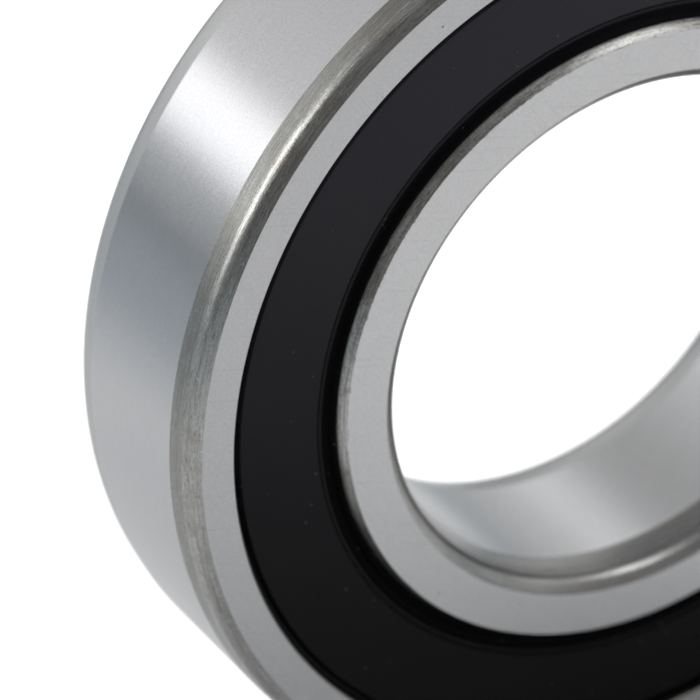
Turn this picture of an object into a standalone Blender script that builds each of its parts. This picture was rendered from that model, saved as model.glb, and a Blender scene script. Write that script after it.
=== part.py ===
"""Sealed single-row deep-groove ball bearing, 45 x 85 x 19 mm.

The bearing stands on its rim: the shaft axis is world Y, the front side faces -Y,
and the origin is the middle of the bearing, on the shaft axis.
"""

import math

import bpy
from mathutils import Matrix

MM = 0.001

# Boundary dimensions
BORE_RADIUS = 22.5 * MM
OUTSIDE_RADIUS = 42.5 * MM
HALF_WIDTH = 9.5 * MM

# Rounded corners: radial and axial size
OUTSIDE_CORNER = (1.3 * MM, 3.0 * MM)
BORE_CORNER = (1.7 * MM, 3.5 * MM)
CORNER_STEPS = 3

# Balls and raceways
BALL_COUNT = 9
BALL_RADIUS = 6.35 * MM
PITCH_RADIUS = 32.5 * MM
OUTER_GROOVE_RADIUS = 1.06 * BALL_RADIUS
INNER_GROOVE_RADIUS = 1.04 * BALL_RADIUS
RACE_CLEARANCE = 0.15 * MM
INNER_SHOULDER_RADIUS = 28.8 * MM
OUTER_SHOULDER_RADIUS = 36.25 * MM
GROOVE_STEPS = 4

# Stepped nose of the inner ring, beside each seal lip
NOSE_FACE_RADIUS = 27.88 * MM
NOSE_RADIUS = 28.45 * MM
NOSE_TAPER_DEPTH = 0.75 * MM
NOSE_DEPTH = 1.6 * MM
SHOULDER_BEVEL = 0.2 * MM

# Seal seat in the outer ring
SEAT_RADIUS = 38.2 * MM
SEAT_MOUTH_BEVEL = 0.15 * MM
SEAT_LIP_DEPTH = 0.8 * MM
SEAT_GROOVE_RADIUS = 38.9 * MM
SEAT_GROOVE_TOP = 1.2 * MM
SEAT_GROOVE_BOTTOM = 2.2 * MM
SEAT_FLOOR_DEPTH = 2.7 * MM
SEAT_FLOOR_RADIUS = 38.4 * MM

# Rubber seal: depths are measured inwards from the side face of the rings
SEAL_FACE_DEPTH = 0.7 * MM
SEAL_FACE_OUTER_RADIUS = 37.45 * MM
SEAL_FACE_INNER_RADIUS = 30.2 * MM
SEAL_FIT_GAP = 0.1 * MM
SEAL_RIDGE_RADIUS = 29.76 * MM
SEAL_RIDGE_DEPTH = 0.86 * MM
SEAL_SKIN = 0.45 * MM
LIP_VALLEY = (29.1 * MM, 1.2 * MM)
LIP_BACK_RADIUS = 29.6 * MM
LIP_BACK_DEPTH = 1.72 * MM
LIP_WIDTH = 0.2 * MM
LIP_LENGTH = 0.4 * MM
BEAD_SHOULDER_RADIUS = 37.7 * MM
BEAD_BOTTOM_DEPTH = 2.5 * MM

# Steel washer bonded behind the rubber
INSERT_THICKNESS = 0.42 * MM
INSERT_INNER_RADIUS = 30.6 * MM
INSERT_OUTER_RADIUS = 37.2 * MM
INSERT_FLANGE_DEPTH = 2.3 * MM
BOND_GAP = 0.05 * MM

# Pressed cage in two riveted halves
CAGE_INNER_RADIUS = 29.9 * MM
CAGE_OUTER_RADIUS = 35.1 * MM
CAGE_SHEET = 0.9 * MM
CAGE_HALF_GAP = 0.05 * MM
POCKET_CLEARANCE = 0.25 * MM
RIVET_SHANK_RADIUS = 0.9 * MM
RIVET_HOLE_CLEARANCE = 0.2 * MM
RIVET_HOLE_DEPTH = 3.6 * MM
RIVET_HEAD_RADIUS = 1.7 * MM
RIVET_HEAD_HEIGHT = 0.6 * MM
RIVET_CROWN_RADIUS = 1.02 * MM
RIVET_CROWN_BEVEL = 0.15 * MM
RIVET_SEAT_GAP = 0.05 * MM

# Roundness of the solids
RING_STEPS = 48
CAGE_STEPS = 54
RIVET_STEPS = 8
BALL_SEGMENTS = 16
BALL_RINGS = 8
POCKET_SEGMENTS = 16
POCKET_RINGS = 12

AXIS_MERGE_DISTANCE = 0.01 * MM
FULL_TURN = 2.0 * math.pi
HALF_TURN = math.pi
QUARTER_TURN = 0.5 * math.pi

# Finishes: base colour, metallic, roughness
FINISHES = {
    "ground_ring_steel": ((0.42, 0.43, 0.43), 1.0, 0.34),
    "ground_inner_ring_steel": ((0.45, 0.46, 0.46), 1.0, 0.32),
    "polished_ball_steel": ((0.62, 0.63, 0.64), 1.0, 0.06),
    "pressed_cage_steel": ((0.38, 0.38, 0.37), 1.0, 0.42),
    "rivet_steel": ((0.46, 0.46, 0.45), 1.0, 0.38),
    "seal_insert_steel": ((0.34, 0.34, 0.33), 1.0, 0.45),
    "seal_rubber_black": ((0.019, 0.019, 0.021), 0.0, 0.48),
}


def remove_existing_objects():
    for existing in list(bpy.data.objects):
        bpy.data.objects.remove(existing, do_unlink=True)


def make_collection(name):
    collection = bpy.data.collections.new(name)
    bpy.context.scene.collection.children.link(collection)
    return collection


def make_material(name):
    colour, metallic, roughness = FINISHES[name]
    material = bpy.data.materials.new(name)
    material.use_nodes = True
    surface = material.node_tree.nodes["Principled BSDF"]
    surface.inputs["Base Color"].default_value = (*colour, 1.0)
    surface.inputs["Metallic"].default_value = metallic
    surface.inputs["Roughness"].default_value = roughness
    return material


def add_object(name, mesh, collection, parent, material=None):
    """One object, placed in its parent's frame."""
    piece = bpy.data.objects.new(name, mesh)
    collection.objects.link(piece)
    piece.parent = parent
    if material is not None:
        mesh.materials.append(material)
    return piece


# Outlines are lists of (radius, height) points. Height runs along the shaft axis, +height
# is the front side. A half outline runs from the front face to the middle of the bearing.

def mirror_half(half):
    """The half outline followed by its mirror image in the middle plane."""
    rear = [(radius, -height) for radius, height in reversed(half) if height > 0.0]
    return half + rear


def corner_arc(face_radius, side_radius, corner):
    """Elliptical corner from the side face round to the cylinder at side_radius."""
    axial = corner[1]
    points = []
    for step in range(CORNER_STEPS + 1):
        angle = QUARTER_TURN * step / CORNER_STEPS
        radius = face_radius + (side_radius - face_radius) * math.sin(angle)
        height = HALF_WIDTH - axial + axial * math.cos(angle)
        points.append((radius, height))
    return points


def groove_arc(shoulder_radius, bottom_radius, groove_radius):
    """Raceway arc from the edge of the shoulder down to the bottom of the groove."""
    side = math.copysign(1.0, bottom_radius - shoulder_radius)
    centre = bottom_radius - side * groove_radius
    edge_angle = math.acos(abs(shoulder_radius - centre) / groove_radius)
    points = []
    for step in range(GROOVE_STEPS + 1):
        angle = edge_angle * (1.0 - step / GROOVE_STEPS)
        radius = centre + side * groove_radius * math.cos(angle)
        points.append((radius, groove_radius * math.sin(angle)))
    return points


def outer_ring_outline():
    outside = corner_arc(OUTSIDE_RADIUS - OUTSIDE_CORNER[0], OUTSIDE_RADIUS, OUTSIDE_CORNER)
    floor = HALF_WIDTH - SEAT_FLOOR_DEPTH
    inside = [
        (SEAT_RADIUS + SEAT_MOUTH_BEVEL, HALF_WIDTH),
        (SEAT_RADIUS, HALF_WIDTH - SEAT_MOUTH_BEVEL),
        (SEAT_RADIUS, HALF_WIDTH - SEAT_LIP_DEPTH),
        (SEAT_GROOVE_RADIUS, HALF_WIDTH - SEAT_GROOVE_TOP),
        (SEAT_GROOVE_RADIUS, HALF_WIDTH - SEAT_GROOVE_BOTTOM),
        (SEAT_FLOOR_RADIUS, floor),
        (OUTER_SHOULDER_RADIUS + SHOULDER_BEVEL, floor),
        (OUTER_SHOULDER_RADIUS, floor - SHOULDER_BEVEL),
    ]
    bottom = PITCH_RADIUS + BALL_RADIUS + RACE_CLEARANCE
    inside += groove_arc(OUTER_SHOULDER_RADIUS, bottom, OUTER_GROOVE_RADIUS)
    return mirror_half(outside) + mirror_half(inside)[::-1]


def inner_ring_outline():
    shoulder_top = HALF_WIDTH - NOSE_DEPTH
    outside = [
        (NOSE_FACE_RADIUS, HALF_WIDTH),
        (NOSE_RADIUS, HALF_WIDTH - NOSE_TAPER_DEPTH),
        (NOSE_RADIUS, shoulder_top),
        (INNER_SHOULDER_RADIUS, shoulder_top - SHOULDER_BEVEL),
    ]
    bottom = PITCH_RADIUS - BALL_RADIUS - RACE_CLEARANCE
    outside += groove_arc(INNER_SHOULDER_RADIUS, bottom, INNER_GROOVE_RADIUS)
    bore = corner_arc(BORE_RADIUS + BORE_CORNER[0], BORE_RADIUS, BORE_CORNER)
    return mirror_half(outside) + mirror_half(bore)[::-1]


def seal_rubber_outline():
    """Front seal: face skin, snap-in bead at the rim and contact lip at the inner ring."""
    face = HALF_WIDTH - SEAL_FACE_DEPTH
    back = face - SEAL_SKIN
    bead_radius = SEAT_GROOVE_RADIUS - SEAL_FIT_GAP
    bead_top = HALF_WIDTH - SEAT_GROOVE_TOP - SEAL_FIT_GAP
    bead_bottom = HALF_WIDTH - BEAD_BOTTOM_DEPTH
    flange_side = INSERT_OUTER_RADIUS + BOND_GAP
    hole_side = INSERT_INNER_RADIUS - BOND_GAP
    tip = NOSE_RADIUS + SEAL_FIT_GAP
    return [
        (SEAL_FACE_OUTER_RADIUS, face),
        (BEAD_SHOULDER_RADIUS, bead_top),
        (bead_radius, bead_top - SEAL_FIT_GAP),
        (bead_radius, HALF_WIDTH - SEAT_GROOVE_BOTTOM + SEAL_FIT_GAP),
        (SEAT_FLOOR_RADIUS, bead_bottom),
        (flange_side, bead_bottom),
        (flange_side, back),
        (hole_side, back),
        (hole_side, back - INSERT_THICKNESS),
        (LIP_BACK_RADIUS, HALF_WIDTH - LIP_BACK_DEPTH),
        (tip, HALF_WIDTH - NOSE_TAPER_DEPTH - LIP_LENGTH),
        (tip, HALF_WIDTH - NOSE_TAPER_DEPTH),
        (tip + LIP_WIDTH, HALF_WIDTH - NOSE_TAPER_DEPTH),
        (LIP_VALLEY[0], HALF_WIDTH - LIP_VALLEY[1]),
        (SEAL_RIDGE_RADIUS, HALF_WIDTH - SEAL_RIDGE_DEPTH),
        (SEAL_FACE_INNER_RADIUS, face),
    ]


def seal_insert_outline():
    """L-section washer: a flat web with a flange turned inwards at its rim."""
    front = HALF_WIDTH - SEAL_FACE_DEPTH - SEAL_SKIN - BOND_GAP
    back = front - INSERT_THICKNESS
    flange_end = HALF_WIDTH - INSERT_FLANGE_DEPTH
    flange_inside = INSERT_OUTER_RADIUS - INSERT_THICKNESS
    return [
        (INSERT_OUTER_RADIUS, front),
        (INSERT_OUTER_RADIUS, flange_end),
        (flange_inside, flange_end),
        (flange_inside, back),
        (INSERT_INNER_RADIUS, back),
        (INSERT_INNER_RADIUS, front),
    ]


def rivet_outline():
    """Shank with a domed head at both ends, from the axis round to the axis."""
    seat = CAGE_HALF_GAP + CAGE_SHEET + RIVET_SEAT_GAP
    crown = seat + RIVET_HEAD_HEIGHT
    half = [
        (0.0, crown),
        (RIVET_CROWN_RADIUS, crown - RIVET_CROWN_BEVEL),
        (RIVET_HEAD_RADIUS, seat),
        (RIVET_SHANK_RADIUS, seat),
    ]
    return mirror_half(half)


def tube_outline(inner_radius, outer_radius, bottom, top):
    return [
        (outer_radius, top),
        (outer_radius, bottom),
        (inner_radius, bottom),
        (inner_radius, top),
    ]


def reflect(outline):
    """The same outline for the rear side, still running down its outer side."""
    return [(radius, -height) for radius, height in reversed(outline)]


def turned(name, outline, steps, collection, parent, material=None, closed=True):
    """A solid of revolution about the local Z axis."""
    count = len(outline)
    vertices = [(radius, 0.0, height) for radius, height in outline]
    edges = [(index, index + 1) for index in range(count - 1)]
    if closed:
        edges.append((count - 1, 0))
    mesh = bpy.data.meshes.new(name)
    mesh.from_pydata(vertices, edges, [])
    piece = add_object(name, mesh, collection, parent, material)
    screw = piece.modifiers.new("turn", "SCREW")
    screw.axis = "Z"
    screw.angle = FULL_TURN
    screw.steps = steps
    screw.render_steps = steps
    screw.use_merge_vertices = not closed
    screw.merge_threshold = AXIS_MERGE_DISTANCE
    screw.use_smooth_shade = True
    return piece


def sphere_mesh(name, radius, segments, rings):
    bpy.ops.mesh.primitive_uv_sphere_add(
        segments=segments, ring_count=rings, radius=radius, location=(0.0, 0.0, 0.0)
    )
    ball = bpy.context.object
    mesh = ball.data
    bpy.data.objects.remove(ball, do_unlink=True)
    mesh.name = name
    mesh.shade_smooth()
    return mesh


def cylinder_mesh(name, radius, depth, segments):
    bpy.ops.mesh.primitive_cylinder_add(
        vertices=segments, radius=radius, depth=depth, location=(0.0, 0.0, 0.0)
    )
    cylinder = bpy.context.object
    mesh = cylinder.data
    bpy.data.objects.remove(cylinder, do_unlink=True)
    mesh.name = name
    return mesh


def pitch_position(angle):
    """A place on the pitch circle, in the middle plane."""
    return (PITCH_RADIUS * math.cos(angle), PITCH_RADIUS * math.sin(angle), 0.0)


def ball_angle(index):
    return FULL_TURN * index / BALL_COUNT


def rivet_angle(index):
    return ball_angle(index + 0.5)


def cut(piece, cutter, operation):
    cutter.hide_render = True
    cutter.display_type = "WIRE"
    boolean = piece.modifiers.new(cutter.name, "BOOLEAN")
    boolean.operation = operation
    boolean.object = cutter
    boolean.solver = "EXACT"


def pocket_mesh(name, radius):
    """Pocket sphere with its poles along X and a flat on the middle plane."""
    mesh = sphere_mesh(name, radius, POCKET_SEGMENTS, POCKET_RINGS)
    half_segment = Matrix.Rotation(HALF_TURN / POCKET_SEGMENTS, 4, "Z")
    lay_down = Matrix.Rotation(QUARTER_TURN, 4, "Y")
    mesh.transform(lay_down @ half_segment)
    return mesh


def add_front_cage_half(parts, cutters, parent, material):
    """Sheet-metal ring with a round pocket over each ball, open towards both rings."""
    margin = CAGE_SHEET
    sheet_face = CAGE_HALF_GAP + CAGE_SHEET
    blank = tube_outline(
        CAGE_INNER_RADIUS - margin, CAGE_OUTER_RADIUS + margin, -margin, sheet_face
    )
    half = turned("cage_half_front", blank, CAGE_STEPS, parts, parent, material)

    inside = BALL_RADIUS + POCKET_CLEARANCE
    outside = inside + CAGE_SHEET
    trim = tube_outline(CAGE_INNER_RADIUS, CAGE_OUTER_RADIUS, CAGE_HALF_GAP, outside + margin)
    trimmer = turned("cage_trim", trim, CAGE_STEPS, cutters, parent)
    shell = pocket_mesh("pocket_outside", outside)
    room = pocket_mesh("pocket_inside", inside)
    hole_radius = RIVET_SHANK_RADIUS + RIVET_HOLE_CLEARANCE
    hole = cylinder_mesh("rivet_hole", hole_radius, RIVET_HOLE_DEPTH, RIVET_STEPS)
    for index in range(BALL_COUNT):
        added = add_object(f"pocket_outside_{index + 1:02d}", shell, cutters, parent)
        added.location = pitch_position(ball_angle(index))
        added.rotation_euler.z = ball_angle(index)
        cut(half, added, "UNION")
    cut(half, trimmer, "INTERSECT")
    for index in range(BALL_COUNT):
        removed = add_object(f"pocket_inside_{index + 1:02d}", room, cutters, parent)
        removed.location = pitch_position(ball_angle(index))
        removed.rotation_euler.z = ball_angle(index)
        cut(half, removed, "DIFFERENCE")
        drilled = add_object(f"rivet_hole_{index + 1:02d}", hole, cutters, parent)
        drilled.location = pitch_position(rivet_angle(index))
        cut(half, drilled, "DIFFERENCE")
    return half


def add_rear_cage_half(front_half, parts, parent):
    """The same pressing turned over, so that its sheet lies against the front half."""
    bpy.context.view_layer.update()
    depsgraph = bpy.context.evaluated_depsgraph_get()
    mesh = bpy.data.meshes.new_from_object(front_half.evaluated_get(depsgraph))
    rear_half = add_object("cage_half_rear", mesh, parts, parent)
    rear_half.rotation_euler.x = HALF_TURN


def add_balls(parts, parent, material):
    mesh = sphere_mesh("ball", BALL_RADIUS, BALL_SEGMENTS, BALL_RINGS)
    mesh.materials.append(material)
    for index in range(BALL_COUNT):
        ball = add_object(f"ball_{index + 1:02d}", mesh, parts, parent)
        ball.location = pitch_position(ball_angle(index))


def add_rivets(parts, parent, material):
    for index in range(BALL_COUNT):
        name = f"rivet_{index + 1:02d}"
        rivet = turned(name, rivet_outline(), RIVET_STEPS, parts, parent, material, closed=False)
        rivet.location = pitch_position(rivet_angle(index))


def build():
    remove_existing_objects()
    parts = make_collection("ball_bearing")
    cutters = make_collection("cutters")

    axis = bpy.data.objects.new("shaft_axis", None)
    axis.rotation_euler.x = QUARTER_TURN
    parts.objects.link(axis)

    finish = {name: make_material(name) for name in FINISHES}
    ring_steel = finish["ground_ring_steel"]
    race_steel = finish["ground_inner_ring_steel"]
    insert_steel = finish["seal_insert_steel"]
    rubber = finish["seal_rubber_black"]

    turned("outer_ring", outer_ring_outline(), RING_STEPS, parts, axis, ring_steel)
    turned("inner_ring", inner_ring_outline(), RING_STEPS, parts, axis, race_steel)
    add_balls(parts, axis, finish["polished_ball_steel"])
    front_half = add_front_cage_half(parts, cutters, axis, finish["pressed_cage_steel"])
    add_rear_cage_half(front_half, parts, axis)
    add_rivets(parts, axis, finish["rivet_steel"])
    insert = seal_insert_outline()
    turned("seal_insert_front", insert, RING_STEPS, parts, axis, insert_steel)
    turned("seal_insert_rear", reflect(insert), RING_STEPS, parts, axis, insert_steel)
    lip_seal = seal_rubber_outline()
    turned("seal_rubber_front", lip_seal, RING_STEPS, parts, axis, rubber)
    turned("seal_rubber_rear", reflect(lip_seal), RING_STEPS, parts, axis, rubber)


build()
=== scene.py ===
"""Looks of a sealed deep-groove ball bearing: ground and turned steel rings, black rubber
seals, and the balls, cage and rivets inside. Shapes are turned or pressed in mesh code
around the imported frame, and every surface has a procedural material.

The bearing stands on its rim with the shaft axis along Y and its front side towards -Y.
Outlines are lists of (radius, height), where height runs along the axis towards the front.
"""

import math

import bmesh
import bpy
from mathutils import Matrix, Vector


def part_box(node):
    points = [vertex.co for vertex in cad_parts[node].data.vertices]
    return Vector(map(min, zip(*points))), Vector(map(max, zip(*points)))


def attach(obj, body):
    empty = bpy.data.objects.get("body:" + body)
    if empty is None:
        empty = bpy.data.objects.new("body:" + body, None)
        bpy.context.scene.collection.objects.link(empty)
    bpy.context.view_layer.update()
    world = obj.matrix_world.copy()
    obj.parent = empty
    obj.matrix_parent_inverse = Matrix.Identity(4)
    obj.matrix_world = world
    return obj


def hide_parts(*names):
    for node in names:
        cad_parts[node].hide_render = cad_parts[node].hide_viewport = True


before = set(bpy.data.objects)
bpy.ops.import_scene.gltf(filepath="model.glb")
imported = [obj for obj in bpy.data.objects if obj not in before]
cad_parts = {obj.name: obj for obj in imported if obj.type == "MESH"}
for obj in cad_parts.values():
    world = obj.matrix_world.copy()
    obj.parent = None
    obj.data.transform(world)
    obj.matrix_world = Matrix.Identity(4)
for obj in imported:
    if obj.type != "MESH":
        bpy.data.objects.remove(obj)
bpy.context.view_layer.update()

MM = 0.001
FULL_TURN = 2.0 * math.pi
SAME_PLACE = 0.01 * MM
LIP_CLEARANCE = 0.1 * MM
BEAD_CLEARANCE = 0.1 * MM


def end_radii(node, height):
    """Smallest and largest radius of a CAD node at one height along the axis."""
    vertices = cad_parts[node].data.vertices
    level = [v.co for v in vertices if abs(v.co.y + height) < SAME_PLACE]
    radii = [math.hypot(co.x, co.z) for co in level]
    return min(radii), max(radii)


def smallest_radius(node):
    return min(math.hypot(v.co.x, v.co.z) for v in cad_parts[node].data.vertices)


# Sizes read from the frame
HALF_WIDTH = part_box("outer_ring")[1].y
OUTSIDE_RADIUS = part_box("outer_ring")[1].x
BORE_RADIUS = smallest_radius("inner_ring")
OUTER_FACE = end_radii("outer_ring", HALF_WIDTH)
INNER_FACE = end_radii("inner_ring", HALF_WIDTH)
SEAL_FACE_HEIGHT = -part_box("seal_rubber_front")[0].y
SEAL_FACE = end_radii("seal_rubber_front", SEAL_FACE_HEIGHT)
INSERT_FRONT = -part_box("seal_insert_front")[0].y
INSERT_BACK = -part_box("seal_insert_front")[1].y
INSERT_OUTER_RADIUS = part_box("seal_insert_front")[1].x
INSERT_INNER_RADIUS = smallest_radius("seal_insert_front")
BEAD_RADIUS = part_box("seal_rubber_front")[1].x
NOSE_RADIUS = smallest_radius("seal_rubber_front") - LIP_CLEARANCE
SHOULDER_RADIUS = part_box("inner_ring")[1].x
BALL_RADIUS = 0.5 * (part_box("ball_01")[1].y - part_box("ball_01")[0].y)
BALL_COUNT = len([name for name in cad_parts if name.startswith("ball_")])
BALL_CENTRE = 0.5 * (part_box("ball_01")[0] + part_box("ball_01")[1])
PITCH_RADIUS = math.hypot(BALL_CENTRE.x, BALL_CENTRE.z)
CAGE_RADII = (smallest_radius("cage_half_front"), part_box("cage_half_front")[1].x)
RIVET_HEAD_TOP = -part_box("rivet_01")[0].y

# Sizes of the fine features
OUTSIDE_CORNER_DEPTH = 3.0 * MM
BORE_CORNER_DEPTH = 3.5 * MM
OUTSIDE_CONE_SHARE = Vector((0.203, 0.64))
BORE_CONE_SHARE = Vector((0.293, 0.70))
OUTSIDE_CORNER_SLOPES = (math.radians(50.0), math.radians(27.0))
BORE_CORNER_SLOPES = (math.radians(60.0), math.radians(36.0))
OUTSIDE_CONE_BOW = math.radians(1.0)
BORE_CONE_BOW = math.radians(4.5)
NOSE_TAPER_BOW = math.radians(9.0)
CORNER_BREAK_REACH = 0.48 * MM
SEAL_RIM_ROUNDING = 0.12 * MM
SEAL_RIM_ARC = 0.42 * math.pi
SEAT_ROUNDING = 0.06 * MM
NOSE_ROUNDING = 0.05 * MM
RUBBER_ROUNDING = 0.09 * MM
INSERT_ROUNDING = 0.12 * MM
BOND_GAP = 0.02 * MM
RACE_PLAY = 0.01 * MM
NOSE_TAPER_DEPTH = 0.75 * MM
NOSE_DEPTH = 1.6 * MM
SEAT_DEPTH = 2.7 * MM
SEAT_WALL_RADIUS = OUTER_FACE[0] - 0.15 * MM
OUTER_SHOULDER_RADIUS = PITCH_RADIUS + 0.59 * BALL_RADIUS
OUTER_GROOVE_ARC = 1.06 * BALL_RADIUS
INNER_GROOVE_ARC = 1.04 * BALL_RADIUS
INSERT_SHEET = 0.42 * MM
SHEET = 0.9 * MM
CAGE_GAP = 0.02 * MM
POCKET_PLAY = 0.2 * MM
POCKET_FILLET_INSIDE = 0.5 * MM
POCKET_FILLET_OUTSIDE = 0.9 * MM
RIVET_SHANK_RADIUS = 0.9 * MM
RIVET_HEAD_RADIUS = 1.7 * MM

# Fineness of the meshes
RING_STEPS = 384
CURVE_STEPS = 20
ROUNDING_STEPS = 5
RIM_STEPS = 6
RIVET_STEPS = 40
RIVET_DOME_STEPS = 8
CAGE_STEPS_PER_BALL = 72
CAGE_ROWS = 10
BALL_SUBDIVISIONS = 5
SHARP_ANGLE = math.radians(28.0)

# Rounded corners use up at most this share of a side, and are held by a point just beyond
LARGEST_CUT = 0.44
HOLDING_POINT = 1.1

# Camera: viewing angle and aim of the photo, and its depth of field
VIEW_AZIMUTH = math.radians(-30.38)
VIEW_ELEVATION = math.radians(31.90)
VIEW_DISTANCE = 12.918 * OUTSIDE_RADIUS
VIEW_AIM_LEFT = 0.561 * OUTSIDE_RADIUS
VIEW_AIM_DOWN = 0.027 * OUTSIDE_RADIUS
LENS = 345.2
SENSOR = 36.0
F_STOP = 48.0
FOCUS_ANGLE = math.radians(150.0)

# Tones of marks on the metal
SCRATCH_TONE = (0.30, 0.30, 0.30)
PIT_TONE = (0.05, 0.05, 0.05)
RAGGED_TONE = (0.24, 0.24, 0.22)
DASH_TONE = (0.10, 0.10, 0.09)
FLECK_TONE = (0.85, 0.85, 0.83)
# Painted shade for the lower nose, also used for the darkening beside the seal lip
DARKENING_TONE = (0.02, 0.02, 0.02)

# Tones of the seal
DEEP_RUBBER = (0.0010, 0.0010, 0.0012)
PLAIN_RUBBER = (0.0030, 0.0030, 0.0032)
# Painted sheen: the rubber colour painted on the upper part of the seal
TOP_LIT_RUBBER = (0.044, 0.0425, 0.052)
DUST_TONE = (0.35, 0.35, 0.34)

# Studio sky. The dome is a list of (elevation, brightness), with angles in degrees. A region
# is given by azimuth, elevation, half width, half height and soft edge, in degrees too.
SKY_DOME = [(0.0, 0.47), (2.0, 0.48), (9.0, 0.60), (24.0, 0.82), (40.0, 0.72), (52.0, 0.33)]
SKY_SHADES = [
    # share kept, region
    (0.25, -42.0, 26.0, 40.0, 30.0, 12.0),
    (0.40, 30.0, 29.0, 24.0, 17.0, 8.0),
    (0.40, 103.0, 32.0, 9.0, 34.0, 6.0),
]
SKY_PANELS = [
    # strength, region
    (1.18, -136.0, 15.2, 16.0, 5.3, 2.2),
    (3.7, -98.0, 27.0, 8.0, 14.0, 4.0),
    (0.35, -120.0, 37.0, 10.0, 10.0, 5.0),
    (0.45, 150.0, 33.0, 8.0, 7.0, 4.0),
    (3.3, 50.0, 55.5, 11.0, 7.5, 5.0),
    (0.12, -176.0, 9.0, 22.0, 12.0, 5.0),
]
BACKDROP = 1.05
LOW_SKY_TINT = (0.955, 1.0, 1.03)
HIGH_SKY_TINT = (1.0, 0.995, 1.01)
HIGH_SKY_FROM = 0.3
REGION_FADE = 0.1
SMALLEST_AHEAD = 0.05

# Key light
KEY_SIZE = 0.3
KEY_ENERGY = 4.0
KEY_DISTANCE = 0.8
KEY_AZIMUTH = 135.0
KEY_ELEVATION = 60.0

# Floor: in reflections it carries a painted pool of light that dims away from its centre, and
# painted shade round the left foot
FLOOR_SIZE = 8.0
FLOOR_PALE = (0.80, 0.80, 0.80)
FLOOR_DIM = (0.425, 0.465, 0.50)
FLOOR_ROUGHNESS = 0.9
FLOOR_GLOW = 0.55
POOL_CENTRE = (0.7 * OUTSIDE_RADIUS, -OUTSIDE_RADIUS, 0.0)
POOL_REACH = (2.2 * OUTSIDE_RADIUS, 6.8 * OUTSIDE_RADIUS)
FOOT_CENTRE = (-0.85 * OUTSIDE_RADIUS, -0.25 * OUTSIDE_RADIUS, 0.0)
FOOT_REACH = (1.4 * OUTSIDE_RADIUS, 2.3 * OUTSIDE_RADIUS)
FOOT_DIMMING = 0.3


# ---------------------------------------------------------------- outlines

def bend(start, end, slope_at_start, slope_at_end):
    """Curve between two points whose normals lie at the given angles from the radius."""
    first = Vector((math.sin(slope_at_start), -math.cos(slope_at_start)))
    last = Vector((math.sin(slope_at_end), -math.cos(slope_at_end)))
    chord = Vector(end) - Vector(start)
    reach = chord.cross(last) / first.cross(last)
    middle = Vector(start) + reach * first
    points = []
    for step in range(CURVE_STEPS + 1):
        t = step / CURVE_STEPS
        point = (1.0 - t) ** 2 * Vector(start) + 2.0 * t * (1.0 - t) * middle + t * t * Vector(end)
        points.append((point.x, point.y))
    return points


def bowed(start, end, bow):
    """Nearly straight curve whose slope eases off by twice the bow from start to end."""
    chord = Vector(end) - Vector(start)
    slope = math.atan2(chord.x, -chord.y)
    bow = math.copysign(bow, slope)
    return bend(start, end, slope + bow, slope - bow)


def turned_corner(face_point, side_point, cone_share, slopes, cone_bow):
    """Corner from the face to the side: a rounded part, a tight break and a shallow cone."""
    face, side = Vector(face_point), Vector(side_point)
    outward = math.copysign(1.0, side.x - face.x)
    break_point = side + cone_share * (face - side)
    curve = bend(face, break_point, outward * slopes[0], outward * slopes[1])
    reach = CORNER_BREAK_REACH
    kept = [Vector(p) for p in curve if (Vector(p) - break_point).length > reach]
    start = kept[-1]
    end = break_point + reach * (side - break_point).normalized()
    points = [tuple(p) for p in kept[:-1]]
    for step in range(CURVE_STEPS + 1):
        t = step / CURVE_STEPS
        spot = (1.0 - t) ** 2 * start + 2.0 * t * (1.0 - t) * break_point + t * t * end
        points.append(tuple(spot))
    return [("corner", points), ("cone", bowed(end, side, cone_bow))]


def groove(shoulder_radius, bottom_radius, arc_radius):
    """Raceway arc from the shoulder down to the middle of the groove."""
    side = math.copysign(1.0, bottom_radius - shoulder_radius)
    centre = bottom_radius - side * arc_radius
    edge = math.acos(abs(shoulder_radius - centre) / arc_radius)
    points = []
    for step in range(CURVE_STEPS + 1):
        angle = edge * (1.0 - step / CURVE_STEPS)
        points.append((centre + side * arc_radius * math.cos(angle), arc_radius * math.sin(angle)))
    return points


def rounded(points, radius, closed=True):
    """The outline with every sharp corner rounded off."""
    count = len(points)
    result = []
    for index, point in enumerate(points):
        here = Vector(point)
        before = Vector(points[index - 1]) - here
        after = Vector(points[(index + 1) % count]) - here
        end_point = not closed and index in (0, count - 1)
        turn = math.pi - before.angle(after) if before.length and after.length else 0.0
        if end_point or turn < SHARP_ANGLE:
            result.append(tuple(here))
            continue
        shorter = min(before.length, after.length)
        cut = min(radius * math.tan(0.5 * turn), LARGEST_CUT * shorter)
        start = here + cut * before.normalized()
        end = here + cut * after.normalized()
        result.append(tuple(here + HOLDING_POINT * cut * before.normalized()))
        for step in range(ROUNDING_STEPS + 1):
            t = step / ROUNDING_STEPS
            spot = (1.0 - t) ** 2 * start + 2.0 * t * (1.0 - t) * here + t * t * end
            result.append((spot.x, spot.y))
        result.append(tuple(here + HOLDING_POINT * cut * after.normalized()))
    return result


def mirrored(points):
    """The outline on the other side of the middle plane, running the other way."""
    return [(radius, -height) for radius, height in reversed(points)]


def both_sides(sections):
    """Sections from the front to the middle, followed by their mirror images."""
    rear_zones = {"cone": "rear_cone", "corner": "rear_corner"}
    rear = [(rear_zones.get(zone, zone), mirrored(points)) for zone, points in reversed(sections)]
    return sections + rear


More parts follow.
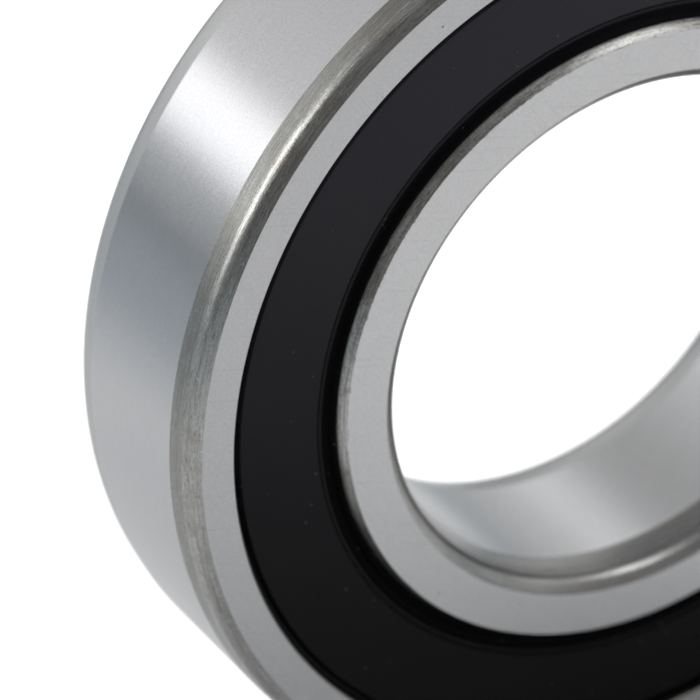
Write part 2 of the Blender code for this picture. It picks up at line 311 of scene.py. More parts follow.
def outer_ring_sections():
    side_corner = (OUTSIDE_RADIUS, HALF_WIDTH - OUTSIDE_CORNER_DEPTH)
    face_corner = (OUTER_FACE[1], HALF_WIDTH)
    corner = turned_corner(face_corner, side_corner, OUTSIDE_CONE_SHARE, OUTSIDE_CORNER_SLOPES,
                           OUTSIDE_CONE_BOW)
    outside = both_sides(corner + [("outside", [side_corner, (OUTSIDE_RADIUS, 0.0)])])
    floor = HALF_WIDTH - SEAT_DEPTH
    seat = rounded([
        (OUTER_FACE[0], HALF_WIDTH),
        (SEAT_WALL_RADIUS, HALF_WIDTH - 0.15 * MM),
        (SEAT_WALL_RADIUS, HALF_WIDTH - 0.8 * MM),
        (BEAD_RADIUS + BEAD_CLEARANCE, HALF_WIDTH - 1.2 * MM),
        (BEAD_RADIUS + BEAD_CLEARANCE, HALF_WIDTH - 2.2 * MM),
        (SEAT_WALL_RADIUS + 0.2 * MM, floor),
        (OUTER_SHOULDER_RADIUS + 0.2 * MM, floor),
        (OUTER_SHOULDER_RADIUS, floor - 0.2 * MM),
    ], SEAT_ROUNDING, closed=False)
    bottom = PITCH_RADIUS + BALL_RADIUS + RACE_PLAY
    arc = groove(OUTER_SHOULDER_RADIUS, bottom, OUTER_GROOVE_ARC)
    inside = both_sides([("seat", seat), ("race", [seat[-1]] + arc)])
    face = [("face", [face_corner, (OUTER_FACE[0], HALF_WIDTH)])]
    return outside, inside, face


def inner_ring_sections():
    shoulder_top = HALF_WIDTH - NOSE_DEPTH
    taper = bowed((INNER_FACE[1], HALF_WIDTH), (NOSE_RADIUS, HALF_WIDTH - NOSE_TAPER_DEPTH),
                  NOSE_TAPER_BOW)
    nose = rounded(taper + [
        (NOSE_RADIUS, shoulder_top),
        (SHOULDER_RADIUS, shoulder_top - 0.2 * MM),
    ], NOSE_ROUNDING, closed=False)
    bottom = PITCH_RADIUS - BALL_RADIUS - RACE_PLAY
    arc = groove(SHOULDER_RADIUS, bottom, INNER_GROOVE_ARC)
    outside = both_sides([("nose", nose), ("race", [nose[-1]] + arc)])
    side_corner = (BORE_RADIUS, HALF_WIDTH - BORE_CORNER_DEPTH)
    face_corner = (INNER_FACE[0], HALF_WIDTH)
    corner = turned_corner(face_corner, side_corner, BORE_CONE_SHARE, BORE_CORNER_SLOPES,
                           BORE_CONE_BOW)
    bore = both_sides(corner + [("bore", [side_corner, (BORE_RADIUS, 0.0)])])
    face = [("face", [(INNER_FACE[1], HALF_WIDTH), face_corner])]
    return outside, bore, face


def ring_loop(outside, inside, face):
    """Closed loop of a ring: down its outer side, up its inner side and across the faces."""
    rear_face = [(zone, mirrored(points)[::-1]) for zone, points in face]
    climb = [(zone, points[::-1]) for zone, points in reversed(inside)]
    return outside + rear_face + climb + [(zone, points[::-1]) for zone, points in face]


def seal_rubber_outline():
    """Face skin with a snap-in bead at the rim, a ridge and a contact lip at the hole."""
    face = SEAL_FACE_HEIGHT
    back = INSERT_FRONT + BOND_GAP
    tip = HALF_WIDTH - NOSE_TAPER_DEPTH
    flange = INSERT_OUTER_RADIUS + BOND_GAP
    hole = INSERT_INNER_RADIUS - BOND_GAP
    inner = SEAL_FACE[0]
    rim = SEAL_FACE[1] - 0.08 * MM
    edge = []
    for step in range(RIM_STEPS + 1):
        angle = SEAL_RIM_ARC * step / RIM_STEPS
        edge.append((rim - SEAL_RIM_ROUNDING * (1.0 - math.sin(angle)),
                     face - SEAL_RIM_ROUNDING * (1.0 - math.cos(angle))))
    return rounded(edge + [
        (SEAL_FACE[1] + 0.22 * MM, face - 0.5 * MM),
        (BEAD_RADIUS - 0.35 * MM, face - 0.48 * MM),
        (BEAD_RADIUS, face - 0.65 * MM),
        (BEAD_RADIUS, face - 1.3 * MM),
        (BEAD_RADIUS - 0.5 * MM, face - 1.8 * MM),
        (flange, face - 1.8 * MM),
        (flange, back),
        (hole, back),
        (hole, INSERT_FRONT - INSERT_SHEET),
        (inner - 0.6 * MM, face - 1.02 * MM),
        (NOSE_RADIUS + 0.06 * MM, tip - 0.4 * MM),
        (NOSE_RADIUS + 0.04 * MM, tip + 0.02 * MM),
        (NOSE_RADIUS + 0.26 * MM, tip + 0.02 * MM),
        (NOSE_RADIUS + 0.62 * MM, face - 0.5 * MM),
        (inner - 0.62 * MM, face - 0.38 * MM),
        (inner - 0.42 * MM, face - 0.16 * MM),
        (inner - 0.16 * MM, face - 0.12 * MM),
        (inner - 0.08 * MM, face - 0.24 * MM),
        (inner + 0.04 * MM, face - 0.24 * MM),
        (inner + 0.12 * MM, face),
    ], RUBBER_ROUNDING)


def seal_insert_outline():
    """L-section washer: a flat web with a rounded flange at its rim."""
    return rounded([
        (INSERT_OUTER_RADIUS, INSERT_FRONT),
        (INSERT_OUTER_RADIUS, INSERT_BACK),
        (INSERT_OUTER_RADIUS - INSERT_SHEET, INSERT_BACK),
        (INSERT_OUTER_RADIUS - INSERT_SHEET, INSERT_FRONT - INSERT_SHEET),
        (INSERT_INNER_RADIUS, INSERT_FRONT - INSERT_SHEET),
        (INSERT_INNER_RADIUS, INSERT_FRONT),
    ], INSERT_ROUNDING)


def rivet_outline():
    """Shank with a domed head at both ends, from the axis round to the axis."""
    seat = CAGE_GAP + SHEET
    crown = RIVET_HEAD_TOP - seat
    dome = []
    for step in range(RIVET_DOME_STEPS + 1):
        angle = 0.5 * math.pi * step / RIVET_DOME_STEPS
        dome.append((RIVET_HEAD_RADIUS * math.sin(angle), seat + crown * math.cos(angle)))
    half = dome + [(RIVET_SHANK_RADIUS, seat)]
    return half + mirrored(half)


# ---------------------------------------------------------------- meshes

def finish_mesh(mesh):
    """Outward faces, smooth shading, and crisp edges at sharp turns and between zones."""
    work = bmesh.new()
    work.from_mesh(mesh)
    bmesh.ops.remove_doubles(work, verts=work.verts, dist=0.1 * SAME_PLACE)
    bmesh.ops.recalc_face_normals(work, faces=work.faces)
    for edge in work.edges:
        first, second = edge.link_faces
        turn = first.normal.angle(second.normal)
        edge.smooth = turn < SHARP_ANGLE and first.material_index == second.material_index
    work.to_mesh(mesh)
    work.free()
    for polygon in mesh.polygons:
        polygon.use_smooth = True


def turn_loop(name, sections, materials, steps=RING_STEPS, closed=True):
    """Solid of revolution about Y. Each section of the loop takes its zone's material."""
    points = []
    zones = []
    for zone, run in sections:
        for start in run[:-1]:
            points.append(start)
            zones.append(zone)
    if not closed:
        points.append(sections[-1][1][-1])
    names = list(materials)
    count = len(points)
    vertices = []
    for step in range(steps):
        angle = FULL_TURN * step / steps
        cosine, sine = math.cos(angle), math.sin(angle)
        vertices += [(r * cosine, -h, r * sine) for r, h in points]
    spans = count if closed else count - 1
    faces = []
    slots = []
    for step in range(steps):
        here = step * count
        there = (step + 1) % steps * count
        for index in range(spans):
            after = (index + 1) % count
            faces.append((here + index, here + after, there + after, there + index))
            slots.append(names.index(zones[index]))
    mesh = bpy.data.meshes.new(name)
    mesh.from_pydata(vertices, [], faces)
    mesh.polygons.foreach_set("material_index", slots)
    for zone in names:
        mesh.materials.append(materials[zone])
    finish_mesh(mesh)
    return mesh


def turn_outline(name, outline, material):
    return turn_loop(name, [("all", outline + outline[:1])], {"all": material})


def add_piece(name, mesh, body, node, place=None):
    """A finished piece that stands for one CAD node and rides on its body."""
    piece = bpy.data.objects.new(name, mesh)
    bpy.context.scene.collection.objects.link(piece)
    if place is not None:
        piece.matrix_world = place
    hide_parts(node)
    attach(piece, body)


def smooth_max(a, b, blend):
    """The larger of two heights, with a fillet of size blend where they cross."""
    h = max(blend - abs(a - b), 0.0) / blend
    return max(a, b) + h * h * blend * 0.25


def pocket_height(radius, angle, pocket_radius):
    """Height of a ball pocket above the middle plane, or nothing outside it."""
    pitch = FULL_TURN / BALL_COUNT
    offset = (angle + 0.5 * pitch) % pitch - 0.5 * pitch
    across = radius * math.sin(offset)
    inward = radius * math.cos(offset) - PITCH_RADIUS
    rest = pocket_radius ** 2 - across ** 2 - inward ** 2
    return math.sqrt(rest) if rest > 0.0 else 0.0


def cage_half_mesh(material):
    """Pressed ribbon: flat between the balls, and domed over each ball."""
    columns = BALL_COUNT * CAGE_STEPS_PER_BALL
    room = BALL_RADIUS + POCKET_PLAY
    work = bmesh.new()
    lower = []
    upper = []
    for column in range(columns):
        angle = FULL_TURN * column / columns
        spots = []
        for row in range(CAGE_ROWS + 1):
            radius = CAGE_RADII[0] + (CAGE_RADII[1] - CAGE_RADII[0]) * row / CAGE_ROWS
            dome_inside = pocket_height(radius, angle, room)
            dome_outside = pocket_height(radius, angle, room + SHEET)
            low = smooth_max(CAGE_GAP, dome_inside, POCKET_FILLET_INSIDE)
            high = smooth_max(SHEET + CAGE_GAP, dome_outside, POCKET_FILLET_OUTSIDE)
            spots.append((radius * math.cos(angle), radius * math.sin(angle), low, high))
        lower.append([work.verts.new((x, -low, z)) for x, z, low, _ in spots])
        upper.append([work.verts.new((x, -high, z)) for x, z, _, high in spots])
    for column in range(columns):
        beyond = (column + 1) % columns
        for row in range(CAGE_ROWS):
            for sheet in (lower, upper):
                work.faces.new((sheet[column][row], sheet[column][row + 1],
                                sheet[beyond][row + 1], sheet[beyond][row]))
        for row in (0, CAGE_ROWS):
            work.faces.new((lower[column][row], upper[column][row],
                            upper[beyond][row], lower[beyond][row]))
    mesh = bpy.data.meshes.new("cage_half_pressed")
    work.to_mesh(mesh)
    work.free()
    mesh.materials.append(material)
    finish_mesh(mesh)
    return mesh


def ball_mesh(material):
    work = bmesh.new()
    bmesh.ops.create_icosphere(work, subdivisions=BALL_SUBDIVISIONS, radius=BALL_RADIUS)
    mesh = bpy.data.meshes.new("ball_polished")
    work.to_mesh(mesh)
    work.free()
    mesh.materials.append(material)
    mesh.shade_smooth()
    return mesh


# ---------------------------------------------------------------- material graphs

class Nodes:
    """Short calls that both the material graphs and the sky use."""

    tree = None

    def add(self, kind, *inputs):
        node = self.tree.nodes.new(kind)
        for socket, value in zip(node.inputs, inputs):
            self.feed(socket, value)
        return node

    def feed(self, socket, value):
        if isinstance(value, bpy.types.NodeSocket):
            self.tree.links.new(value, socket)
        elif value is not None:
            socket.default_value = value

    def math(self, operation, *values):
        node = self.add("ShaderNodeMath", *values)
        node.operation = operation
        return node.outputs[0]

    def remap(self, value, low, high, to_low=0.0, to_high=1.0):
        """Smooth step from one number to another as the value goes from low to high."""
        node = self.add("ShaderNodeMapRange")
        node.interpolation_type = "SMOOTHSTEP"
        for name, number in (("From Min", low), ("From Max", high),
                             ("To Min", to_low), ("To Max", to_high)):
            node.inputs[name].default_value = number
        self.feed(node.inputs["Value"], value)
        return node.outputs[0]

    def blend(self, share, first, second):
        node = self.add("ShaderNodeMix")
        node.data_type = "RGBA"
        self.feed(node.inputs["Factor"], share)
        for socket, colour in ((node.inputs[6], first), (node.inputs[7], second)):
            self.feed(socket, (*colour, 1.0) if isinstance(colour, tuple) else colour)
        return node.outputs[2]


class Graph(Nodes):
    """A material's node tree, with short calls for the nodes these materials use."""

    def __init__(self, name):
        self.material = bpy.data.materials.new(name)
        self.material.use_nodes = True
        self.tree = self.material.node_tree
        self.surface = self.tree.nodes["Principled BSDF"]
        self.position = self.add("ShaderNodeTexCoord").outputs["Object"]
        split = self.add("ShaderNodeSeparateXYZ", self.position)
        self.x, self.y, self.z = split.outputs
        squares = self.math("ADD", self.math("MULTIPLY", self.x, self.x),
                            self.math("MULTIPLY", self.z, self.z))
        self.radius = self.math("SQRT", squares)
        self.depth = self.math("ABSOLUTE", self.y)

    def scaled(self, vector, factors):
        node = self.add("ShaderNodeVectorMath", vector, factors)
        node.operation = "MULTIPLY"
        return node.outputs[0]

    def turned_vector(self, angle):
        """Position turned about the shaft axis."""
        node = self.add("ShaderNodeVectorRotate")
        node.rotation_type = "Y_AXIS"
        self.feed(node.inputs["Vector"], self.position)
        node.inputs["Angle"].default_value = angle
        return node.outputs[0]

    def noise(self, vector, scale, detail=2.0, roughness=0.5):
        node = self.add("ShaderNodeTexNoise")
        self.feed(node.inputs["Vector"], vector)
        node.inputs["Scale"].default_value = scale
        node.inputs["Detail"].default_value = detail
        node.inputs["Roughness"].default_value = roughness
        return node.outputs["Fac"]

    def specks(self, vector, scale, size):
        """1 inside sparse round spots, 0 elsewhere."""
        node = self.add("ShaderNodeTexVoronoi")
        self.feed(node.inputs["Vector"], vector)
        node.inputs["Scale"].default_value = scale
        return self.remap(node.outputs["Distance"], 0.6 * size, size, 1.0, 0.0)

    def distance(self, centre):
        node = self.add("ShaderNodeVectorMath", self.position, centre)
        node.operation = "DISTANCE"
        return node.outputs["Value"]

    def streaks(self, along, length, width, detail=3.0):
        """Noise drawn out round the circumference: length and width are in metres."""
        combined = self.add("ShaderNodeCombineXYZ", self.math("MULTIPLY", self.x, width / length),
                            along, self.math("MULTIPLY", self.z, width / length))
        return self.noise(combined.outputs[0], 1.0 / width, detail, 0.6)

    def bump(self, height, strength, distance, below=None):
        node = self.add("ShaderNodeBump")
        node.inputs["Strength"].default_value = strength
        node.inputs["Distance"].default_value = distance
        self.feed(node.inputs["Height"], height)
        self.feed(node.inputs["Normal"], below)
        return node.outputs[0]

    def brushed(self, amount):
        """Highlight stretched across the circumferential grinding marks."""
        tangent = self.add("ShaderNodeTangent")
        tangent.direction_type = "RADIAL"
        tangent.axis = "Y"
        self.feed(self.surface.inputs["Tangent"], tangent.outputs[0])
        self.surface.inputs["Anisotropic"].default_value = amount

    def finish(self, colour, metallic, roughness, normal=None, specular=None):
        self.feed(self.surface.inputs["Base Color"], colour)
        self.surface.inputs["Metallic"].default_value = metallic
        self.feed(self.surface.inputs["Roughness"], roughness)
        self.feed(self.surface.inputs["Normal"], normal)
        if specular is not None:
            self.feed(self.surface.inputs["Specular IOR Level"], specular)
        return self.material


def along_outside(graph):
    """Coordinate that runs along the profile of an outer corner."""
    return graph.math("SUBTRACT", graph.depth, graph.radius)


def along_bore(graph):
    """Coordinate that runs along the profile of an inner corner."""
    return graph.math("ADD", graph.depth, graph.radius)


def shaded(tone, factor):
    return tuple(factor * part for part in tone)


def ground_cylinder(name, tone, roughness):
    """Fine-ground cylinder: an even fine grain and hardly any lines."""
    graph = Graph(name)
    lines = graph.streaks(graph.y, 3.0 * MM, 0.12 * MM)
    grain = graph.noise(graph.position, 1.0 / (0.14 * MM), 2.0, 0.7)
    cloud = graph.noise(graph.position, 1.0 / (7.0 * MM), 2.0)
    texture = graph.math("ADD", graph.math("MULTIPLY", lines, 0.25),
                         graph.math("MULTIPLY", grain, 0.75))
    colour = graph.blend(graph.remap(texture, 0.34, 0.66), shaded(tone, 0.92), shaded(tone, 1.07))
    shine = graph.math("MULTIPLY_ADD", texture, 0.08, roughness - 0.04)
    shine = graph.math("MULTIPLY_ADD", cloud, 0.03, shine)
    normal = graph.bump(texture, 0.22, 0.02 * MM)
    graph.brushed(0.2)
    return graph.finish(colour, 1.0, shine, normal)


def ground_face(name, tone, roughness, ragged_radius=None):
    """Side face ground flat: even satin grain, stray straight scratches and tiny pits.

    With a ragged radius, rough turned skin eats into the face from that rim, except low down.
    """
    graph = Graph(name)
    grain = graph.noise(graph.position, 1.0 / (0.22 * MM), 3.0, 0.7)
    cloud = graph.noise(graph.position, 1.0 / (3.0 * MM), 2.0)
    scratches = None
    for turn, width in ((0.3, 0.10), (1.25, 0.13), (2.2, 0.09), (2.9, 0.15)):
        stretched = graph.scaled(graph.turned_vector(turn), (0.018, 1.0, 1.0))
        line = graph.remap(graph.noise(stretched, 1.0 / (width * MM), 1.0), 0.66, 0.74)
        scratches = line if scratches is None else graph.math("MAXIMUM", scratches, line)
    pits = graph.specks(graph.position, 1.0 / (3.2 * MM), 0.032)
    dark = shaded(tone, 0.93)
    colour = graph.blend(graph.remap(grain, 0.3, 0.7), dark, shaded(tone, 1.06))
    colour = graph.blend(graph.math("MULTIPLY", cloud, 0.10), colour, dark)
    colour = graph.blend(graph.math("MULTIPLY", scratches, 0.20), colour, SCRATCH_TONE)
    colour = graph.blend(pits, colour, PIT_TONE)
    if ragged_radius is not None:
        teeth = graph.noise(graph.position, 1.0 / (0.7 * MM), 4.0, 0.7)
        reach = graph.math("MULTIPLY_ADD", teeth, 0.9 * MM, graph.radius)
        skin = graph.remap(reach, ragged_radius + 0.45 * MM, ragged_radius + 0.50 * MM)
        skin = graph.math("MULTIPLY", skin, graph.remap(graph.z, -12.0 * MM, 4.0 * MM))
        colour = graph.blend(skin, colour, RAGGED_TONE)
    shine = graph.math("MULTIPLY_ADD", grain, 0.10, roughness - 0.05)
    normal = graph.bump(grain, 0.08, 0.02 * MM)
    normal = graph.bump(scratches, 0.10, -0.01 * MM, normal)
    return graph.finish(colour, 1.0, shine, normal)


def turned_steel(name, tone, dark_tone, roughness, along_of, pitch, wear, darkened=False):
    """Turned surface: tool lines and mottling, and with wear dark dashes and bright flecks.

    A darkened surface carries painted shade on its lower half, and is also darker beside the seal
    lip.
    """
    graph = Graph(name)
    along = along_of(graph)
    lines = graph.streaks(along, 2.6 * MM, 0.85 * pitch, 2.0)
    long_lines = graph.streaks(along, 14.0 * MM, 2.2 * pitch, 1.0)
    mottle = graph.noise(graph.position, 1.0 / (0.17 * MM), 3.0, 0.7)
    tint = graph.noise(graph.position, 1.0 / (2.4 * MM), 2.0)
    dashes = graph.remap(graph.streaks(along, 0.8 * MM, 0.09 * MM, 1.0), 0.60, 0.72)
    flecks = graph.remap(graph.streaks(along, 0.5 * MM, 0.08 * MM, 1.0), 0.66, 0.76)
    texture = graph.math("ADD", graph.math("MULTIPLY", lines, 0.42),
                         graph.math("MULTIPLY", mottle, 0.36))
    texture = graph.math("MULTIPLY_ADD", long_lines, 0.22, texture)
    colour = graph.blend(graph.remap(texture, 0.39, 0.61), dark_tone, tone)
    warm = (1.08 * dark_tone[0], 0.97 * dark_tone[1], 0.88 * dark_tone[2])
    colour = graph.blend(graph.remap(tint, 0.5, 0.72, 0.0, 0.55 * min(wear, 1.0)), colour, warm)
    colour = graph.blend(graph.math("MULTIPLY", dashes, 0.50 * wear), colour, DASH_TONE)
    colour = graph.blend(graph.math("MULTIPLY", flecks, 0.70 * wear), colour, FLECK_TONE)
    if darkened:
        # Painted shade: the lower half is darkened where the seal shades it; the rim beside the
        # seal lip is darker too
        darkening = graph.remap(graph.z, -16.0 * MM, -2.0 * MM, 0.85, 0.0)
        lip_darkening = graph.remap(graph.radius, NOSE_RADIUS - 0.12 * MM, NOSE_RADIUS, 0.0, 0.35)
        darkening = graph.math("MAXIMUM", darkening, lip_darkening)
        colour = graph.blend(darkening, colour, DARKENING_TONE)
    shine = graph.math("MULTIPLY_ADD", texture, -0.20, roughness + 0.10)
    normal = graph.bump(texture, 0.22 + 0.16 * wear, 0.05 * MM)
    graph.brushed(0.3)
    return graph.finish(colour, 1.0, shine, normal)


def plain_steel(name, tone, roughness, grain_size):
    """Steel with a fine even grain."""
    graph = Graph(name)
    grain = graph.noise(graph.position, 1.0 / grain_size, 3.0, 0.6)
    colour = graph.blend(graph.remap(grain, 0.3, 0.7), shaded(tone, 0.85), tone)
    shine = graph.math("MULTIPLY_ADD", grain, 0.12, roughness - 0.06)
    return graph.finish(colour, 1.0, shine, graph.bump(grain, 0.12, 0.02 * MM))


def moulded_rubber(name):
    """Black nitrile rubber: satin moulded skin, a painted sheen that is lighter at the top and
    fades downwards, a little dust.
    """
    graph = Graph(name)
    skin = graph.noise(graph.position, 1.0 / (0.14 * MM), 3.0, 0.65)
    cloud = graph.noise(graph.position, 1.0 / (9.0 * MM), 3.0, 0.55)
    dust = graph.specks(graph.position, 1.0 / (1.45 * MM), 0.045)
    drawn_out = graph.scaled(graph.turned_vector(0.7), (0.3, 1.0, 1.0))
    lint = graph.specks(drawn_out, 1.0 / (3.4 * MM), 0.022)
    # Painted sheen: lighter towards the top and fading downwards, with less of it near the lip
    # valley
    height = graph.math("MULTIPLY_ADD", cloud, 8.0 * MM, graph.z)
    painted_sheen = graph.remap(height, -40.0 * MM, 46.0 * MM)
    painted_sheen = graph.math("MULTIPLY", painted_sheen, painted_sheen)
    lip = SEAL_FACE[0]
    valley_dimming = graph.remap(graph.radius, lip - 0.5 * MM, lip + 0.2 * MM, 0.15, 1.0)
    painted_sheen = graph.math("MULTIPLY", painted_sheen, valley_dimming)
    colour = graph.blend(painted_sheen, PLAIN_RUBBER, TOP_LIT_RUBBER)
    colour = graph.blend(graph.remap(skin, 0.3, 0.7, 0.0, 0.25), colour, DEEP_RUBBER)
    colour = graph.blend(graph.math("MULTIPLY", dust, 0.60), colour, DUST_TONE)
    colour = graph.blend(graph.math("MULTIPLY", lint, 0.50), colour, DUST_TONE)
    shine = graph.math("MULTIPLY_ADD", cloud, 0.10, 0.34)
    normal = graph.bump(skin, 0.14, 0.02 * MM)
    gloss = graph.remap(graph.radius, lip - 0.55 * MM, lip - 0.25 * MM, 0.02, 0.12)
    return graph.finish(colour, 0.0, shine, normal, gloss)


# ---------------------------------------------------------------- pieces

def build_rings():
    outer_materials = {
        "corner": turned_steel("outer_corner_steel", (0.55, 0.55, 0.53), (0.31, 0.31, 0.29), 0.27,
                               along_outside, 0.12 * MM, 1.3),
        "cone": turned_steel("outer_cone_steel", (0.39, 0.39, 0.37), (0.27, 0.27, 0.25), 0.27,
                             along_outside, 0.14 * MM, 0.6),
        "rear_cone": turned_steel("outer_rear_cone_steel", (0.60, 0.60, 0.59), (0.55, 0.55, 0.54),
                                  0.42, along_outside, 0.14 * MM, 0.0),
        "rear_corner": turned_steel("outer_rear_corner_steel", (0.62, 0.62, 0.61),
                                    (0.50, 0.50, 0.49), 0.36, along_outside, 0.12 * MM, 0.3),
        "outside": ground_cylinder("outside_ground_steel", (0.58, 0.582, 0.588), 0.16),
        "face": ground_face("outer_face_steel", (0.57, 0.57, 0.57), 0.34),
        "seat": turned_steel("seal_seat_steel", (0.40, 0.40, 0.38), (0.24, 0.24, 0.22), 0.42,
                             along_bore, 0.10 * MM, 0.0),
        "race": ground_cylinder("outer_race_steel", (0.62, 0.63, 0.64), 0.14),
    }
    inner_materials = {
        "corner": turned_steel("bore_corner_steel", (0.44, 0.44, 0.43), (0.30, 0.30, 0.29), 0.25,
                               along_bore, 0.11 * MM, 0.6),
        "cone": turned_steel("bore_cone_steel", (0.39, 0.39, 0.38), (0.33, 0.33, 0.32), 0.27,
                             along_bore, 0.13 * MM, 0.2),
        "rear_cone": turned_steel("bore_rear_cone_steel", (0.44, 0.445, 0.44),
                                  (0.41, 0.415, 0.41), 0.26, along_bore, 0.13 * MM, 0.0),
        "rear_corner": turned_steel("bore_rear_corner_steel", (0.44, 0.44, 0.42),
                                    (0.30, 0.30, 0.28), 0.25, along_bore, 0.11 * MM, 0.3),
        "bore": ground_cylinder("bore_ground_steel", (0.555, 0.561, 0.561), 0.27),
        "face": ground_face("inner_face_steel", (0.64, 0.64, 0.64), 0.33, INNER_FACE[1]),
        "nose": turned_steel("nose_turned_steel", (0.68, 0.68, 0.65), (0.24, 0.24, 0.22), 0.30,
                             along_outside, 0.10 * MM, 1.6, darkened=True),
        "race": ground_cylinder("inner_race_steel", (0.62, 0.63, 0.64), 0.14),
    }
    outer = turn_loop("outer_ring_turned", ring_loop(*outer_ring_sections()), outer_materials)
    add_piece("outer_ring_turned", outer, "outer_ring", "outer_ring")
    inner = turn_loop("inner_ring_turned", ring_loop(*inner_ring_sections()), inner_materials)
    add_piece("inner_ring_turned", inner, "inner_ring", "inner_ring")


def build_seals():
    rubber = moulded_rubber("black_nitrile_rubber")
    sheet = plain_steel("insert_sheet_steel", (0.50, 0.50, 0.49), 0.42, 0.2 * MM)
    turned_over = Matrix.Rotation(math.pi, 4, "X")
    for side, place in (("front", None), ("rear", turned_over)):
        skin = turn_outline(f"seal_rubber_{side}_moulded", seal_rubber_outline(), rubber)
        add_piece(skin.name, skin, "outer_ring", f"seal_rubber_{side}", place)
        washer = turn_outline(f"seal_insert_{side}_pressed", seal_insert_outline(), sheet)
        add_piece(washer.name, washer, "outer_ring", f"seal_insert_{side}", place)


def build_cage():
    steel = plain_steel("cage_sheet_steel", (0.55, 0.55, 0.54), 0.36, 0.25 * MM)
    mesh = cage_half_mesh(steel)
    turned_over = Matrix.Rotation(math.pi, 4, "X")
    add_piece("cage_half_front_pressed", mesh, "cage", "cage_half_front")
    add_piece("cage_half_rear_pressed", mesh, "cage", "cage_half_rear", turned_over)
    rivet_steel = plain_steel("rivet_steel", (0.60, 0.60, 0.59), 0.30, 0.15 * MM)
    sections = [("all", rivet_outline())]
    rivet = turn_loop("rivet_headed", sections, {"all": rivet_steel}, RIVET_STEPS, closed=False)
    for index in range(BALL_COUNT):
        node = f"rivet_{index + 1:02d}"
        low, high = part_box(node)
        place = Matrix.Translation(0.5 * (low + high))
        add_piece(f"{node}_headed", rivet, "cage", node, place)


def build_balls():
    polished = plain_steel("polished_ball_steel", (0.80, 0.80, 0.81), 0.07, 0.3 * MM)
    mesh = ball_mesh(polished)
    for index in range(BALL_COUNT):
        node = f"ball_{index + 1:02d}"
        low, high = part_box(node)
        place = Matrix.Translation(0.5 * (low + high))
        add_piece(f"{node}_polished", mesh, node, node, place)


# ---------------------------------------------------------------- studio

def direction(azimuth, elevation):
    """Unit vector: azimuth 0 is towards the front (-Y), 90 towards +X, elevation up."""
    a, e = math.radians(azimuth), math.radians(elevation)
    return Vector((math.sin(a) * math.cos(e), -math.cos(a) * math.cos(e), math.sin(e)))


class Sky(Nodes):
    """The studio round the object: a dome with soft light panels on it."""

    def __init__(self):
        world = bpy.data.worlds.new("studio")
        world.use_nodes = True
        bpy.context.scene.world = world
        self.tree = world.node_tree
        self.tree.nodes.clear()
        self.ray = self.add("ShaderNodeTexCoord").outputs["Generated"]
        self.up = self.add("ShaderNodeSeparateXYZ", self.ray).outputs["Z"]
        self.light = None

    def dot(self, vector):
        node = self.add("ShaderNodeVectorMath", self.ray, vector)
        node.operation = "DOT_PRODUCT"
        return node.outputs["Value"]

    def dome(self, stops):
        """Brightness by elevation, eased from each stop to the next."""
        self.light = self.math("ADD", stops[0][1], 0.0)
        for (low, before), (high, after) in zip(stops, stops[1:]):
            heights = math.sin(math.radians(low)), math.sin(math.radians(high))
            change = self.remap(self.up, *heights, 0.0, after - before)
            self.light = self.math("ADD", self.light, change)

    def region(self, azimuth, elevation, half_width, half_height, edge):
        """1 inside a rectangle of the dome, 0 outside."""
        centre = direction(azimuth, elevation)
        side = direction(azimuth + 90.0, 0.0)
        top = centre.cross(side).normalized()
        ahead = self.dot(centre)
        share = self.remap(ahead, 0.0, REGION_FADE)
        safe = self.math("MAXIMUM", ahead, SMALLEST_AHEAD)
        for axis, half in ((side, half_width), (top, half_height)):
            offset = self.math("ABSOLUTE", self.math("DIVIDE", self.dot(axis), safe))
            inner = math.tan(math.radians(max(half - edge, 0.0)))
            outer = math.tan(math.radians(half + edge))
            share = self.math("MULTIPLY", share, self.remap(offset, inner, outer, 1.0, 0.0))
        return share

    def panel(self, strength, *region):
        glow = self.math("MULTIPLY", self.region(*region), strength)
        self.light = self.math("ADD", self.light, glow)

    def shade(self, share_kept, *region):
        kept = self.math("MULTIPLY_ADD", self.region(*region), share_kept - 1.0, 1.0)
        self.light = self.math("MULTIPLY", self.light, kept)

    def finish(self):
        """Camera rays see the plain backdrop; the object sees the lights."""
        seen = self.add("ShaderNodeLightPath").outputs["Is Camera Ray"]
        unseen = self.math("SUBTRACT", 1.0, seen)
        strength = self.math("ADD", self.math("MULTIPLY", self.light, unseen),
                             self.math("MULTIPLY", seen, BACKDROP))
        height = self.remap(self.up, 0.0, HIGH_SKY_FROM)
        tint = self.blend(height, LOW_SKY_TINT, HIGH_SKY_TINT)
        glow = self.add("ShaderNodeBackground", tint, strength)
        self.add("ShaderNodeOutputWorld", glow.outputs[0])


def light_studio():
    sky = Sky()
    sky.dome(SKY_DOME)
    for shade in SKY_SHADES:
        sky.shade(*shade)
    for panel in SKY_PANELS:
        sky.panel(*panel)
    sky.finish()


def light_key():
    """Soft key light behind and to the right, which shades the floor in front of the bearing."""
    light = bpy.data.lights.new("key", "AREA")
    light.shape = "SQUARE"
    light.size = KEY_SIZE
    light.energy = KEY_ENERGY
    lamp = bpy.data.objects.new("key", light)
    bpy.context.scene.collection.objects.link(lamp)
    lamp.location = KEY_DISTANCE * direction(KEY_AZIMUTH, KEY_ELEVATION)
    lamp.rotation_mode = "QUATERNION"
    lamp.rotation_quaternion = lamp.location.to_track_quat("Z", "Y")
    lamp.visible_camera = False
    lamp.visible_glossy = False


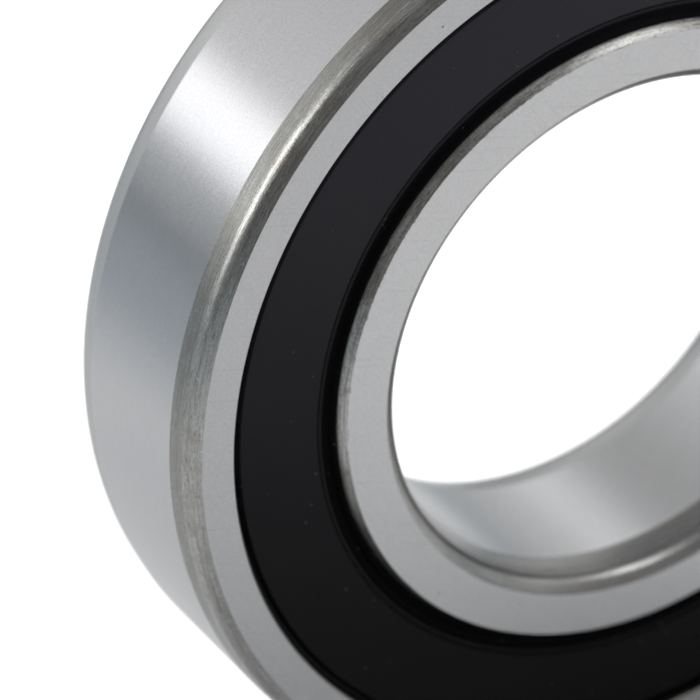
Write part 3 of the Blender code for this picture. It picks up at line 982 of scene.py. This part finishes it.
def lay_floor():
    """Plain floor under the rim: white to the camera; in reflections pale, with a painted pool of
    light that dims outwards and painted shade round the left foot.
    """
    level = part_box("outer_ring")[0].z
    bpy.ops.mesh.primitive_plane_add(size=FLOOR_SIZE, location=(0.0, 0.0, level))
    floor = bpy.context.object
    floor.name = "floor"
    graph = Graph("pale_floor")
    seen = graph.add("ShaderNodeLightPath").outputs["Is Camera Ray"]
    unseen = graph.math("SUBTRACT", 1.0, seen)
    # Painted pool of light and painted shade round the left foot, in reflections only
    pool_falloff = graph.remap(graph.distance(POOL_CENTRE), *POOL_REACH)
    foot_shade = graph.remap(graph.distance(FOOT_CENTRE), *FOOT_REACH, FOOT_DIMMING, 0.0)
    colour = FLOOR_PALE
    for share in (pool_falloff, foot_shade):
        colour = graph.blend(graph.math("MULTIPLY", share, unseen), colour, FLOOR_DIM)
    glow = graph.math("MULTIPLY", seen, FLOOR_GLOW)
    graph.surface.inputs["Emission Color"].default_value = (1.0, 1.0, 1.0, 1.0)
    graph.feed(graph.surface.inputs["Emission Strength"], glow)
    floor.data.materials.append(graph.finish(colour, 0.0, FLOOR_ROUGHNESS, specular=0.0))


def place_camera():
    """Camera at the photo's angle, aimed left of the shaft axis, so the bearing is cropped."""
    back = direction(math.degrees(VIEW_AZIMUTH), math.degrees(VIEW_ELEVATION))
    right = Vector((math.cos(VIEW_AZIMUTH), math.sin(VIEW_AZIMUTH), 0.0))
    up = back.cross(right)
    front_centre = Vector((0.0, -HALF_WIDTH, 0.0))
    aim = front_centre - VIEW_AIM_LEFT * right - VIEW_AIM_DOWN * up
    lens = bpy.data.cameras.new("camera")
    lens.lens = LENS
    lens.sensor_width = SENSOR
    lens.clip_start = 0.01
    camera = bpy.data.objects.new("camera", lens)
    bpy.context.scene.collection.objects.link(camera)
    camera.location = aim + VIEW_DISTANCE * back
    camera.rotation_mode = "QUATERNION"
    camera.rotation_quaternion = back.to_track_quat("Z", "Y")
    bpy.context.scene.camera = camera
    focus = bpy.data.objects.new("focus_point", None)
    bpy.context.scene.collection.objects.link(focus)
    focus.location = (OUTSIDE_RADIUS * math.cos(FOCUS_ANGLE), -HALF_WIDTH,
                      OUTSIDE_RADIUS * math.sin(FOCUS_ANGLE))
    lens.dof.use_dof = True
    lens.dof.focus_object = focus
    lens.dof.aperture_fstop = F_STOP


build_rings()
build_seals()
build_cage()
build_balls()
light_studio()
light_key()
lay_floor()
place_camera()
bpy.context.scene.view_settings.view_transform = "Standard"
